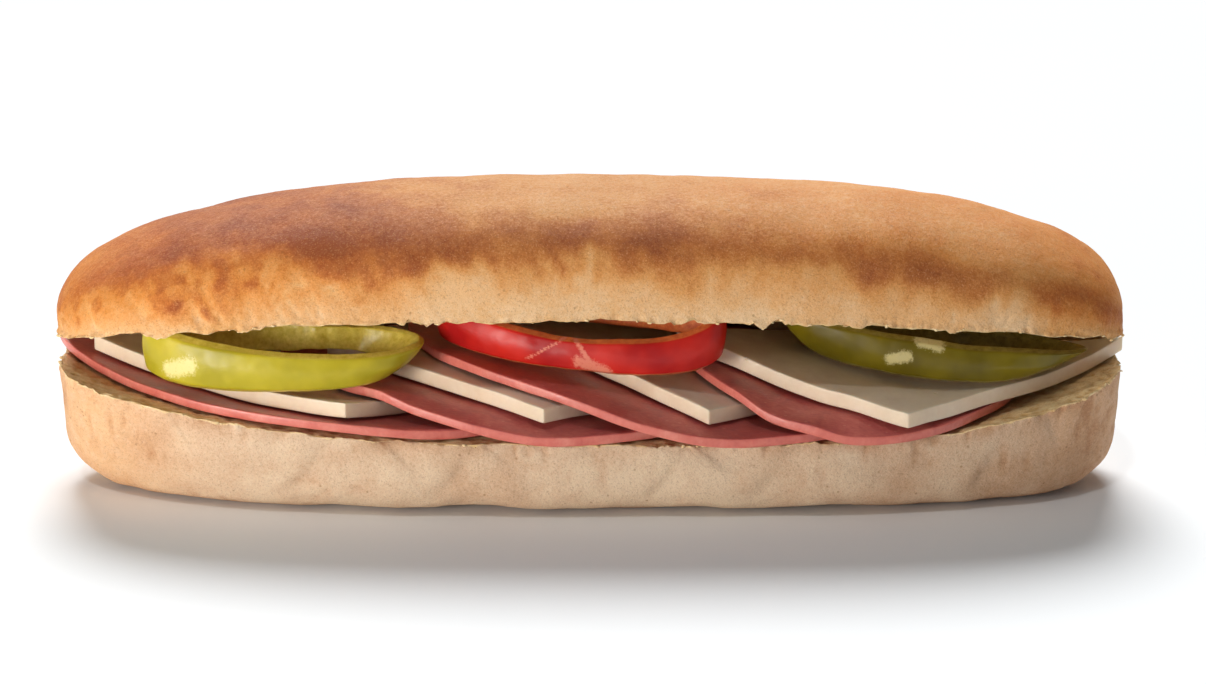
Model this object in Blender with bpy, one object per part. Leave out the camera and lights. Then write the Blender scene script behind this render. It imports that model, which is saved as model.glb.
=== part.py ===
"""A long soft roll, split lengthwise and filled with ham, cheese and pepper rings.

The roll lies along X on the flat base of its heel, at Z = 0, with its open side towards -Y.
The filling is laid slice by slice: each slice is a limp sheet that comes to rest on the
surface below it, and each pepper ring follows the slices that it lies on.
Lengths are in metres and angles in degrees.
"""

import math

import bmesh
import bpy
import numpy as np

# Roll, heel and crown together
ROLL_LENGTH = 0.240
ROLL_HEIGHT = 0.0696
PLAN_FULLNESS = 3.4
RIDGE_X = -0.0136
END_POWER = 4

# Heel: the lower half, from its flat base to the cut
HEEL_WIDTH = 0.0732
HEEL_FRONT_HEIGHT = 0.0178
HEEL_END_RISE_LEFT = 0.0118
HEEL_END_RISE_RIGHT = 0.0112
HEEL_RISE_POWER_LEFT = 2.6
HEEL_RISE_POWER_RIGHT = 4.2
HEEL_BACKWARD_RISE = 0.05
HEEL_DISH = 0.0030
HEEL_SIDE_SLOPE = 1.1
HEEL_SIDE_FULLNESS = 4.6
HEEL_BASE_CLIP = 1.045
HEEL_NOSE_Z = 0.0135
HEEL_END_RADIUS_LEFT = 0.022
HEEL_END_RADIUS_RIGHT = 0.020
HEEL_BASE_TAPER_LEFT = 0.60
HEEL_BASE_TAPER_RIGHT = 0.34

# Crown: the upper half, from the cut to the ridge
CROWN_WIDTH = 0.0744
CROWN_END_EDGE_Z = 0.0352
CROWN_EDGE_ARCH = 0.0108
CROWN_ARCH_POWER = 2.4
CROWN_BACKWARD_FALL = 0.190
CROWN_NOSE_Z = 0.0395
CROWN_FULLNESS_LEFT = 2.05
CROWN_FULLNESS_RIGHT = 3.1
CROWN_END_FULLNESS = 2.25
CROWN_SIDE_FULLNESS = 2.35

# Slices; each bending is a stiffness, how far a step sinks, an evenness and a degree of bending
HAM_THICKNESS = 0.0022
CHEESE_THICKNESS = 0.0035
HAM_BENDING = (0.60, 0.00055, 0.60, 5)
CHEESE_BENDING = (0.90, 0.00070, 0.95, 3)
CHEESE_CORNER_ROUNDING = 0.07

# Each ham slice: centre x, centre y, half length, half width, turn
HAM_SLICES = {
    "ham_1": (-0.0640, 0.0020, 0.0600, 0.0360, -17),
    "ham_2": (-0.0190, 0.0000, 0.0530, 0.0375, -16),
    "ham_3": (0.0180, -0.0005, 0.0600, 0.0388, -8),
    "ham_4": (0.0586, 0.0000, 0.0390, 0.0400, -12),
}
# Each cheese slice: front corner x, front corner y, left side and its angle, right side and its angle
CHEESE_SLICES = {
    "cheese_1": (-0.0534, -0.0355, 0.067, 27, 0.050, 47),
    "cheese_2": (-0.0100, -0.0375, 0.060, 33, 0.050, 47),
    "cheese_3": (0.0262, -0.0365, 0.062, 36, 0.050, 45),
    "cheese_4": (0.0694, -0.0408, 0.059, 30, 0.0658, 37),
}
SLICE_ORDER = ("ham_1", "cheese_1", "ham_2", "cheese_2", "ham_3", "cheese_3", "ham_4", "cheese_4")

# Pepper rings: centre x, centre y, half length, half width, turn, mean height,
# how much taller than that on the left, how much taller at both ends, angle of the inner rib
PEPPER_RINGS = {
    "pepper_green_left": (-0.0670, -0.0198, 0.0322, 0.0120, -3, 0.0090, 0.34, 0.08, 78),
    "pepper_red": (-0.0016, -0.0160, 0.0334, 0.0122, -13, 0.0096, 0.00, 0.20, 50),
    "pepper_green_right": (0.0775, -0.0137, 0.0365, 0.0124, -5, 0.0083, 0.28, 0.00, 100),
}
# How much narrower each ring is at its foot than at its top, on the left and on the right
PEPPER_TAPERS = {
    "pepper_green_left": (0.00, 0.24),
    "pepper_red": (0.00, 0.00),
    "pepper_green_right": (0.23, 0.40),
}
PEPPER_TAPER_LEVELS = (0, 0.25, 0.5, 0.75, 1)
PEPPER_TALL_ANGLE = 200
PEPPER_WALL = 0.0036
PEPPER_RIB = 0.0040
PEPPER_RIB_SPREAD = 16
PEPPER_BULGE = 0.0010
PEPPER_FULLNESS = 2.05
PEPPER_LOBE_DEPTH = 0.035
PEPPER_SECTION_FULLNESS = 3.2
PEPPER_BRIDGING_STEPS = 14

# Spacing between touching pieces, and how finely they are worked out
GAP = 0.0003
CELL = 0.0005
SPOTS = 16
SETTLING_STEPS = 160
EVENING_ROUNDS = 3
PRESSING_STEPS = 12
BREAD_RINGS = 32
CROWN_SIDES = 24
HEEL_SIDES = 22
SLICE_CELLS = 12
PEPPER_STATIONS = 32
PEPPER_SECTION_SIDES = 8
SEED_RADIUS = 0.25
STATION_REACH = 0.004
ACROSS = np.linspace(-1, 1, 17)
CLEARING_STEPS = 20
SHARP_ANGLE = math.radians(62)


def signed_power(value, exponent):
    """value to the exponent, keeping its sign."""
    return math.copysign(abs(value) ** exponent, value)


def plan_half_width(x, width):
    """Half the roll's width at x: a long oval with full ends."""
    along = np.clip(np.abs(x) / (ROLL_LENGTH / 2), 0, 1)
    return width / 2 * (1 - along**PLAN_FULLNESS) ** (1 / PLAN_FULLNESS)


def heel_cut_z(x, y):
    """Height of the heel's cut face, which rises towards its ends and its back and dips under the filling."""
    along = np.clip(np.abs(x) / (ROLL_LENGTH / 2), 0, 1)
    across = np.clip(np.abs(y) / (HEEL_WIDTH / 2), 0, 1)
    left = np.asarray(x) < 0
    rise = np.where(left, HEEL_END_RISE_LEFT, HEEL_END_RISE_RIGHT)
    power = np.where(left, HEEL_RISE_POWER_LEFT, HEEL_RISE_POWER_RIGHT)
    middle = 1 - along**END_POWER
    backward = (y + HEEL_WIDTH / 2) * HEEL_BACKWARD_RISE * middle
    dish = HEEL_DISH * middle * (1 - across**2) ** 2
    return HEEL_FRONT_HEIGHT + rise * along**power + backward - dish


def crown_cut_z(x, y):
    """Height of the crown's cut face before it presses on the filling."""
    along = np.clip(np.abs(x) / (ROLL_LENGTH / 2), 0, 1)
    arch = CROWN_EDGE_ARCH * np.sqrt(1 - along**CROWN_ARCH_POWER)
    backward = (y + CROWN_WIDTH / 2) * CROWN_BACKWARD_FALL * (1 - along**END_POWER)
    return CROWN_END_EDGE_Z + arch - backward


def crown_ridge_z(x):
    """Height of the crown's ridge, highest a little left of the middle."""
    left = x < RIDGE_X
    reach = (-ROLL_LENGTH / 2 if left else ROLL_LENGTH / 2) - RIDGE_X
    fullness = CROWN_FULLNESS_LEFT if left else CROWN_FULLNESS_RIGHT
    along = min((x - RIDGE_X) / reach, 1)
    return CROWN_NOSE_Z + (ROLL_HEIGHT - CROWN_NOSE_Z) * (1 - along**fullness) ** (1 / CROWN_END_FULLNESS)


class Stack:
    """The top of everything laid so far, as one height for each cell of a grid over the roll."""

    def __init__(self, surface):
        self.half_x, self.half_y = 0.140, 0.060
        x = np.arange(-self.half_x, self.half_x + CELL / 2, CELL)
        y = np.arange(-self.half_y, self.half_y + CELL / 2, CELL)
        self.z = surface(x[:, None], y[None, :])

    def cells(self, x, y):
        return np.rint((x + self.half_x) / CELL).astype(int), np.rint((y + self.half_y) / CELL).astype(int)

    def highest(self, x, y):
        """The highest of the cells at and around each point."""
        column, row = self.cells(x, y)
        steps = (-1, 0, 1)
        return np.max([self.z[column + i, row + j] for i in steps for j in steps], axis=0)

    def add(self, x, y, z):
        np.maximum.at(self.z, self.cells(x, y), z)


def heel_surface(x, y):
    """The heel seen from above: its cut face, and past its edge the slope that a slice hangs down."""
    outside = np.maximum(np.abs(y) - plan_half_width(x, HEEL_WIDTH), 0)
    return heel_cut_z(x, y) - HEEL_SIDE_SLOPE * outside


def between(corners):
    """Values at evenly spaced spots between the corners of a grid, along both of its directions."""
    for _ in range(2):
        cells = len(corners) - 1
        places = np.linspace(0, cells, cells * SPOTS + 1)
        start = np.minimum(places.astype(int), cells - 1)
        share = (places - start)[:, None]
        corners = (corners[start] * (1 - share) + corners[start + 1] * share).T
    return corners


def lifted_clear(z, floor, steps):
    """Raises the corners of a grid until no spot between them lies below the floor."""
    reach = SPOTS // 2
    for _ in range(steps):
        short = np.pad(np.maximum(floor - between(z), 0), reach)
        windows = [
            short[i::SPOTS, j::SPOTS][: z.shape[0], : z.shape[1]]
            for i in range(2 * reach + 1)
            for j in range(2 * reach + 1)
        ]
        z = z + np.max(windows, axis=0)
    return z


def neighbour_mean(z):
    """The mean of the four neighbours of each corner; past an edge the sheet goes straight on."""
    wide = np.pad(z, 1, mode="reflect", reflect_type="odd")
    return (wide[2:, 1:-1] + wide[:-2, 1:-1] + wide[1:-1, 2:] + wide[1:-1, :-2]) / 4


def evened(z, degree):
    """The smoothest sheet of a given degree of bending that follows the heights of a grid."""
    side = np.linspace(-1, 1, len(z))
    u, v = np.meshgrid(side, side, indexing="ij")
    powers = [(i, j) for i in range(degree + 1) for j in range(degree + 1 - i)]
    bends = np.stack([(u**i * v**j).ravel() for i, j in powers], axis=1)
    amounts = np.linalg.lstsq(bends, z.ravel(), rcond=None)[0]
    return (bends @ amounts).reshape(z.shape)


def draped(stack, x, y, stiffness, sink, evenness, degree):
    """Heights at which a sheet comes to rest on the stack: an evenness of 0 is limp, and 1 resists any wave."""
    floor = stack.highest(between(x), between(y)) + GAP
    z = np.full(x.shape, floor.max())
    for _ in range(SETTLING_STEPS):
        z = z + stiffness * (neighbour_mean(z) - z) - sink
        z = lifted_clear(z, floor, 1)
    for _ in range(EVENING_ROUNDS):
        z = z + evenness * (evened(z, degree) - z)
        z = lifted_clear(z, floor, CLEARING_STEPS)
    return z


def pressed_up(cut, floor):
    """Lifts a cut face clear of what lies below it, spreading each bump into its surroundings."""
    rest = cut
    for _ in range(PRESSING_STEPS):
        cut = lifted_clear(np.maximum(rest, neighbour_mean(cut)), floor, 1)
    return lifted_clear(cut, floor, CLEARING_STEPS)


def slice_plan():
    """The corners of a square sheet, as two grids that each run from -1 to 1."""
    side = np.linspace(-1, 1, SLICE_CELLS + 1)
    return np.meshgrid(side, side, indexing="ij")


def rounded(u, v, amount):
    """Rounds a square's corners: an amount of 1 makes it a disc."""
    return u * np.sqrt(1 - amount * v**2 / 2), v * np.sqrt(1 - amount * u**2 / 2)


def ham_plan(centre_x, centre_y, half_length, half_width, turn):
    """An oval slice, turned about the vertical."""
    u, v = rounded(*slice_plan(), 1)
    across, along = half_width * v, half_length * u
    angle = math.radians(turn)
    x = centre_x + along * math.cos(angle) - across * math.sin(angle)
    y = centre_y + along * math.sin(angle) + across * math.cos(angle)
    return x, y


def cheese_plan(corner_x, corner_y, left_side, left_angle, right_side, right_angle):
    """A four-sided slice that points a corner at the front."""
    u, v = rounded(*slice_plan(), CHEESE_CORNER_ROUNDING)
    left, right = math.radians(left_angle), math.radians(right_angle)
    leftward, rightward = left_side * (1 + u) / 2, right_side * (1 + v) / 2
    x = corner_x - leftward * math.cos(left) + rightward * math.cos(right)
    y = corner_y + leftward * math.sin(left) + rightward * math.sin(right)
    return x, y


def finished(name, mesh, material):
    """Makes a node of a closed mesh, shaded smooth except at its cut edges."""
    bmesh.ops.recalc_face_normals(mesh, faces=mesh.faces)
    if mesh.calc_volume(signed=True) < 0:
        bmesh.ops.reverse_faces(mesh, faces=mesh.faces)
    data = bpy.data.meshes.new(name)
    mesh.to_mesh(data)
    mesh.free()
    data.shade_smooth()
    data.set_sharp_from_angle(angle=SHARP_ANGLE)
    data.materials.append(material)
    part = bpy.data.objects.new(name, data)
    bpy.context.scene.collection.objects.link(part)
    return part


def slice_of(name, x, y, z, thickness, material):
    """A sheet with its underside at the given heights, thickened upwards."""
    mesh = bmesh.new()
    bmesh.ops.create_grid(mesh, x_segments=SLICE_CELLS, y_segments=SLICE_CELLS, size=1)
    for vertex in mesh.verts:
        i = round((vertex.co.x + 1) / 2 * SLICE_CELLS)
        j = round((vertex.co.y + 1) / 2 * SLICE_CELLS)
        vertex.co = x[i, j], y[i, j], z[i, j]
    top = bmesh.ops.extrude_face_region(mesh, geom=list(mesh.faces), use_keep_orig=True)["geom"]
    top_vertices = [item for item in top if isinstance(item, bmesh.types.BMVert)]
    bmesh.ops.translate(mesh, verts=top_vertices, vec=(0, 0, thickness))
    return finished(name, mesh, material)


def lay_slice(stack, name, material):
    """Lays one slice on the stack and adds it to the stack."""
    if name in HAM_SLICES:
        x, y = ham_plan(*HAM_SLICES[name])
        thickness, bending = HAM_THICKNESS, HAM_BENDING
    else:
        x, y = cheese_plan(*CHEESE_SLICES[name])
        thickness, bending = CHEESE_THICKNESS, CHEESE_BENDING
    z = draped(stack, x, y, *bending)
    stack.add(between(x), between(y), between(z) + thickness)
    return slice_of(name, x, y, z, thickness, material)


def ring_outline(angle, half_length, half_width):
    """A point on a pepper's lobed outline, before it is turned and placed."""
    lobe = 1 - PEPPER_LOBE_DEPTH * (1 + math.cos(3 * angle)) / 2
    x = half_length * lobe * signed_power(math.cos(angle), 2 / PEPPER_FULLNESS)
    y = half_width * lobe * signed_power(math.sin(angle), 2 / PEPPER_FULLNESS)
    return x, y


def ring_frame(station, ring):
    """Centre of the wall at a station, and the unit vector that points out of the ring there."""
    centre_x, centre_y, half_length, half_width, turn = ring[:5]
    step = 2 * math.pi / PEPPER_STATIONS
    before, here, after = (
        ring_outline((station + offset) * step, half_length, half_width) for offset in (-0.5, 0, 0.5)
    )
    outward = np.array([after[1] - before[1], before[0] - after[0]])
    outward /= np.hypot(*outward)
    middle = np.array(here) - outward * PEPPER_WALL / 2
    angle = math.radians(turn)
    turned = np.array([[math.cos(angle), -math.sin(angle)], [math.sin(angle), math.cos(angle)]])
    return turned @ middle + (centre_x, centre_y), turned @ outward


def rib_at(station, rib_angle):
    """How far the wall thickens inwards at a station, for the pale rib inside the pepper."""
    away = (360 * station / PEPPER_STATIONS - rib_angle + 180) % 360 - 180
    return PEPPER_RIB * math.exp(-((away / PEPPER_RIB_SPREAD) ** 2))


def foot_shift(middle, centre_x, tapers):
    """How far along X the foot of the wall stands from its top."""
    return (centre_x - middle[0]) * (tapers[0] if middle[0] < centre_x else tapers[1])


def ring_base(stack, frames, ribs, shifts, heights):
    """Height of the ring's lower edge at each station, bridging the dips in the slices."""
    floor = []
    for (middle, outward), rib, shift, height in zip(frames, ribs, shifts, heights):
        reach = ACROSS * (PEPPER_WALL / 2 + rib + PEPPER_BULGE)
        x = middle[0] + outward[0] * reach
        y = middle[1] + outward[1] * reach
        needed = [
            stack.highest(x + shift * (1 - level), y).max() + GAP - height * level
            for level in PEPPER_TAPER_LEVELS
        ]
        floor.append(max(needed))
    floor = np.maximum.reduce([np.roll(floor, shift) for shift in (-1, 0, 1)])
    base = floor
    for _ in range(PEPPER_BRIDGING_STEPS):
        base = np.maximum((np.roll(base, 1) + np.roll(base, -1)) / 2, floor)
    return base


def ring_heights(mean_height, taller_left, taller_ends):
    """Height of the wall at each station: the ring is cut unevenly."""
    turn = 2 * math.pi * np.arange(PEPPER_STATIONS) / PEPPER_STATIONS
    leftward = np.cos(turn - math.radians(PEPPER_TALL_ANGLE))
    return mean_height * (1 + taller_left * leftward + taller_ends * np.cos(2 * turn))


def add_ring(stack, frames, ribs, tops):
    """Adds a ring's upper edge to the stack."""
    for (middle, outward), rib, top in zip(frames, ribs, tops):
        for share in ACROSS:
            spot = middle + outward * share * (PEPPER_WALL / 2 + rib + PEPPER_BULGE)
            slides = ACROSS * STATION_REACH
            stack.add(spot[0] - outward[1] * slides, spot[1] + outward[0] * slides, top)


def pepper_ring(name, frames, ribs, shifts, base, heights, material):
    """A turned wall, reshaped station by station into a pepper's lobed outline."""
    mesh = bmesh.new()
    circle = bmesh.ops.create_circle(mesh, segments=PEPPER_SECTION_SIDES, radius=SEED_RADIUS)
    for vertex in circle["verts"]:
        vertex.co = 1 + vertex.co.x, 0, vertex.co.y
    bmesh.ops.spin(
        mesh,
        geom=[*mesh.verts, *mesh.edges],
        cent=(0, 0, 0),
        axis=(0, 0, 1),
        angle=2 * math.pi,
        steps=PEPPER_STATIONS,
        use_merge=True,
    )
    for vertex in mesh.verts:
        turn = math.atan2(vertex.co.y, vertex.co.x)
        station = round(turn / (2 * math.pi) * PEPPER_STATIONS) % PEPPER_STATIONS
        around = math.atan2(vertex.co.z, math.hypot(vertex.co.x, vertex.co.y) - 1)
        middle, outward = frames[station]
        upward = signed_power(math.sin(around), 2 / PEPPER_SECTION_FULLNESS)
        sideways = signed_power(math.cos(around), 2 / PEPPER_SECTION_FULLNESS)
        inner = ribs[station] if sideways < 0 else 0
        reach = sideways * (PEPPER_WALL / 2 + inner) + PEPPER_BULGE * (1 - upward**2)
        place = middle + outward * reach
        x = place[0] + shifts[station] * (1 - upward) / 2
        vertex.co = x, place[1], base[station] + heights[station] * (1 + upward) / 2
    return finished(name, mesh, material)


def lay_rings(stack, materials):
    """Lays the pepper rings side by side on the slices, and adds them to the stack."""
    laid = []
    for name, ring in PEPPER_RINGS.items():
        *height, rib_angle = ring[5:]
        heights = ring_heights(*height)
        frames = [ring_frame(station, ring) for station in range(PEPPER_STATIONS)]
        ribs = [rib_at(station, rib_angle) for station in range(PEPPER_STATIONS)]
        shifts = [foot_shift(middle, ring[0], PEPPER_TAPERS[name]) for middle, _ in frames]
        base = ring_base(stack, frames, ribs, shifts, heights)
        laid.append((name, frames, ribs, shifts, base, heights))
    for name, frames, ribs, shifts, base, heights in laid:
        add_ring(stack, frames, ribs, base + heights)
        pepper_ring(name, frames, ribs, shifts, base, heights, materials[name])


def bread(name, rings, sides, point, material):
    """A closed body along X: a sphere whose rings become the roll's cross-sections."""
    mesh = bmesh.new()
    bmesh.ops.create_uvsphere(mesh, u_segments=sides, v_segments=rings, radius=1)
    for vertex in mesh.verts:
        ring = round(math.acos(max(-1, min(1, -vertex.co.z))) / math.pi * rings)
        side = round(math.atan2(vertex.co.y, vertex.co.x) / (2 * math.pi) * sides) % sides
        vertex.co = point(ring, side)
    return finished(name, mesh, material)


def ring_x(ring):
    """Place of a cross-section along the roll; they stand closer together near the ends."""
    return -ROLL_LENGTH / 2 * math.cos(math.pi * ring / BREAD_RINGS)


def cut_face(sides, width, height):
    """The corners of a cut face: rings along the roll, and columns from its back edge to its front edge."""
    columns = sides // 2
    x = np.array([[ring_x(ring)] * (columns + 1) for ring in range(BREAD_RINGS + 1)])
    share = np.cos(np.pi * np.arange(columns + 1) / columns)
    y = plan_half_width(x, width) * share
    return x, y, height(x, y)


def make_heel(stack, material):
    """The lower half: rounded sides, a flat base and a cut face on top."""
    x, y, cut = cut_face(HEEL_SIDES, HEEL_WIDTH, heel_cut_z)
    stack.add(between(x), between(y), between(cut))

    def base_lift(x_here):
        radius = HEEL_END_RADIUS_LEFT if x_here < 0 else HEEL_END_RADIUS_RIGHT
        past = min(max(abs(x_here) - (ROLL_LENGTH / 2 - radius), 0) / radius, 1)
        return HEEL_NOSE_Z * (1 - math.sqrt(1 - past**2))

    def point(ring, side):
        if ring in (0, BREAD_RINGS):
            return ring_x(ring), 0, HEEL_NOSE_Z
        if side <= HEEL_SIDES // 2:
            return x[ring, side], y[ring, side], cut[ring, side]
        angle = 2 * math.pi * side / HEEL_SIDES
        outward = signed_power(math.cos(angle), 2 / HEEL_SIDE_FULLNESS)
        downward = abs(math.sin(angle)) ** (2 / HEEL_SIDE_FULLNESS)
        x_here = ring_x(ring)
        narrowing = HEEL_BASE_TAPER_LEFT if x_here < 0 else HEEL_BASE_TAPER_RIGHT
        taper = 1 - narrowing * (2 * x_here / ROLL_LENGTH) ** END_POWER * downward
        y_here = plan_half_width(x_here, HEEL_WIDTH) * outward * taper
        edge = heel_cut_z(x_here, y_here)
        lowest = base_lift(x_here)
        z = edge - (edge - lowest) * HEEL_BASE_CLIP * downward
        return x_here, y_here, max(z, lowest)

    return bread("bread_heel", BREAD_RINGS, HEEL_SIDES, point, material)


def make_crown(stack, material):
    """The upper half: a dome over a cut face that presses down on the filling."""
    x, y, cut = cut_face(CROWN_SIDES, CROWN_WIDTH, crown_cut_z)
    floor = stack.highest(between(x), between(y)) + GAP
    cut = pressed_up(cut, floor)
    columns = CROWN_SIDES // 2

    def point(ring, side):
        if ring in (0, BREAD_RINGS):
            return ring_x(ring), 0, CROWN_NOSE_Z
        if side == 0 or side >= columns:
            column = -side % CROWN_SIDES
            return x[ring, column], y[ring, column], cut[ring, column]
        angle = 2 * math.pi * side / CROWN_SIDES
        outward = signed_power(math.cos(angle), 2 / CROWN_SIDE_FULLNESS)
        upward = abs(math.sin(angle)) ** (2 / CROWN_SIDE_FULLNESS)
        x_here = ring_x(ring)
        y_here = plan_half_width(x_here, CROWN_WIDTH) * outward
        back, front = cut[ring, 0], cut[ring, columns]
        edge = (back + front) / 2 + (back - front) / 2 * outward * abs(outward)
        rise = crown_ridge_z(x_here) - (back + front) / 2
        return x_here, y_here, edge + rise * upward

    return bread("bread_crown", BREAD_RINGS, CROWN_SIDES, point, material)


def food_material(name, color, roughness):
    """A plain Principled finish for one kind of food."""
    material = bpy.data.materials.new(name)
    material.use_nodes = True
    shader = material.node_tree.nodes["Principled BSDF"]
    shader.inputs["Base Color"].default_value = (*color, 1)
    shader.inputs["Roughness"].default_value = roughness
    shader.inputs["Metallic"].default_value = 0
    return material


def make_sandwich():
    crust = food_material("crust", (0.62, 0.36, 0.16), 0.85)
    pale_crust = food_material("pale_crust", (0.80, 0.62, 0.40), 0.85)
    ham = food_material("ham", (0.78, 0.36, 0.36), 0.45)
    cheese = food_material("cheese", (0.88, 0.80, 0.62), 0.50)
    green_pepper = food_material("green_pepper", (0.42, 0.52, 0.06), 0.30)
    red_pepper = food_material("red_pepper", (0.66, 0.04, 0.02), 0.30)

    stack = Stack(heel_surface)
    make_heel(stack, pale_crust)
    for name in SLICE_ORDER:
        lay_slice(stack, name, ham if name in HAM_SLICES else cheese)
    peppers = {
        "pepper_green_left": green_pepper,
        "pepper_red": red_pepper,
        "pepper_green_right": green_pepper,
    }
    lay_rings(stack, peppers)
    make_crown(stack, crust)


for leftover in list(bpy.data.objects):
    bpy.data.objects.remove(leftover)
make_sandwich()
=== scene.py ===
"""Looks of the filled roll: two bread halves, ham and cheese slices and pepper rings."""
import math
import random

import bmesh
import bpy
import numpy as np
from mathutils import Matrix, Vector, kdtree, noise
from mathutils.bvhtree import BVHTree


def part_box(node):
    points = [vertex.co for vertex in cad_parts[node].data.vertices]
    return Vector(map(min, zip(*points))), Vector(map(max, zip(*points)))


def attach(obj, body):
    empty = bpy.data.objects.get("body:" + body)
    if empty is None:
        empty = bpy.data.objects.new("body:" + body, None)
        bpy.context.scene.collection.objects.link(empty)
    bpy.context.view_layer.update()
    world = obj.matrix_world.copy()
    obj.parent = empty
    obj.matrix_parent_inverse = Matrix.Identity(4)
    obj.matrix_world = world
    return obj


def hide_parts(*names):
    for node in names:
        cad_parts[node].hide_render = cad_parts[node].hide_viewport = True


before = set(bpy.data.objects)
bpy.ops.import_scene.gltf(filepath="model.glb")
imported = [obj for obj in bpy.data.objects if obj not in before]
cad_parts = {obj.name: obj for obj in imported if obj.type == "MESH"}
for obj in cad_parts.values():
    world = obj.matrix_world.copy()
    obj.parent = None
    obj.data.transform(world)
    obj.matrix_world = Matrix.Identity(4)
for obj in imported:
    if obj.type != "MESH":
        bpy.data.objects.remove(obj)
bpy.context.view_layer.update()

MM = 0.001

# How finely the pieces are worked
MERGE = 0.01 * MM
FLAT_ANGLE = math.radians(30)
QUAD_ANGLE = math.radians(70)
FINE_LEVELS = 3

# What counts as a cut edge, and how sharp it stays when the piece is rounded
CUT_EDGE_ANGLE = math.radians(55)
CUT_FACING = 0.8
CUT_MIDDLE = 20 * MM
CUT_SHARPNESS = 0.85
CUT_BAND = 3.5 * MM
RING_EDGE_ANGLE = math.radians(38)
RING_SHARPNESS = 0.55

# Rounding pulls the crust in, so it grows back by this much
GROWTH = 0.45 * MM

# How the back of the crown sinks onto the filling
SAG_STEP = 2.5 * MM
SAG_ROWS = (48, 15)  # grid steps either side of the middle, along and across the roll
SAG_KEPT = 0.25 * MM
SAG_MOST = 9 * MM

# The pile settles unevenly: one slow wave shared by every piece keeps their gaps
SETTLE_HEIGHT = 0.35 * MM
SETTLE_LENGTH = 15 * MM
SETTLE_FROM_FLOOR = 8 * MM


# A pore's rim and floor, as shares of the way to the next pore
PORE_RIM, PORE_FLOOR = 0.62, 0.1


def clamp(value, low=0.0, high=1.0):
    return max(low, min(high, value))


def smooth_step(low, high, value):
    """0 below low, 1 above high, and an even rise between."""
    share = clamp((value - low) / (high - low))
    return share * share * (3 - 2 * share)


def hump(value, middle, reach):
    """1 at the middle, fading to 0 a reach away."""
    return math.exp(-(((value - middle) / reach) ** 2))


def ripple(place, length, seed):
    """Smooth unevenness from -1 to 1 whose bumps are about length long."""
    return noise.noise(place / length + Vector((seed, 1.7 * seed, 0.6 * seed)))


def ripples(place, layers):
    """Unevenness of several sizes at once; each layer is a height, a length and a seed."""
    return sum(height * ripple(place, length, seed) for height, length, seed in layers)


def pores(place, size, seed):
    """Round holes of mixed depth, 1 in the middle of a hole and 0 between them."""
    spots, centres = noise.voronoi(place / size + Vector((seed, seed, seed)))
    deep = 0.35 + 0.65 * (0.5 + 0.5 * noise.cell(centres[0] * 3.1))
    return deep * smooth_step(PORE_RIM, PORE_FLOOR, spots[0]) if spots[0] < PORE_RIM else 0.0


# --- Shapes -----------------------------------------------------------------------------


def merged_copy(node):
    """A CAD piece's shape as one skin of mostly four-sided faces."""
    mesh = bmesh.new()
    mesh.from_mesh(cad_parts[node].data)
    mesh.edges.layers.float.new("crease_edge")
    for face in mesh.faces:
        face.material_index = 0
    bmesh.ops.remove_doubles(mesh, verts=mesh.verts, dist=MERGE)
    bmesh.ops.join_triangles(
        mesh, faces=mesh.faces, angle_face_threshold=FLAT_ANGLE, angle_shape_threshold=QUAD_ANGLE
    )
    return mesh


def subdivided(mesh, levels):
    """The smooth subdivision of a mesh, as a new one."""
    data = bpy.data.meshes.new("rough")
    mesh.to_mesh(data)
    mesh.free()
    rough = bpy.data.objects.new("rough", data)
    bpy.context.scene.collection.objects.link(rough)
    rounding = rough.modifiers.new("rounding", "SUBSURF")
    rounding.levels = rounding.render_levels = levels
    graph = bpy.context.evaluated_depsgraph_get()
    fine = bpy.data.meshes.new_from_object(rough.evaluated_get(graph))
    result = bmesh.new()
    result.from_mesh(fine)
    bpy.data.objects.remove(rough)
    bpy.data.meshes.remove(data)
    bpy.data.meshes.remove(fine)
    result.normal_update()
    return result


def crease(mesh, edges, sharpness):
    """Keeps edges from being rounded off, the more the nearer sharpness is to 1."""
    layer = mesh.edges.layers.float["crease_edge"]
    for edge in edges:
        edge[layer] = sharpness


def share_of(mesh, index):
    """For each vertex, the share of its faces that carry a material index."""
    return [
        sum(f.material_index == index for f in v.link_faces) / len(v.link_faces) for v in mesh.verts
    ]


def settle(mesh):
    """Lifts and lowers a piece with the pile's slow wave, less and less towards the floor."""
    for vertex in mesh.verts:
        place = Vector((vertex.co.x, vertex.co.y, 0))
        grip = smooth_step(0, SETTLE_FROM_FLOOR, vertex.co.z)
        vertex.co.z += SETTLE_HEIGHT * grip * ripple(place, SETTLE_LENGTH, 4.2)


def finished(name, mesh, values, material, slot, *nodes):
    """Makes the piece, stores its painted values for the finish, and attaches it to the root body."""
    data = bpy.data.meshes.new(name)
    for face in mesh.faces:
        face.material_index = 0
        face.smooth = True
    mesh.to_mesh(data)
    mesh.free()
    for key, numbers in values.items():
        painted = data.attributes.new(key, "FLOAT", "POINT")
        painted.data.foreach_set("value", np.asarray(numbers, np.float32))
    data.materials.append(material)
    piece = bpy.data.objects.new(name, data)
    bpy.context.scene.collection.objects.link(piece)
    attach(piece, "root")
    if nodes:
        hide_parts(*nodes)
    return piece


# --- Finishes ---------------------------------------------------------------------------


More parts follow.
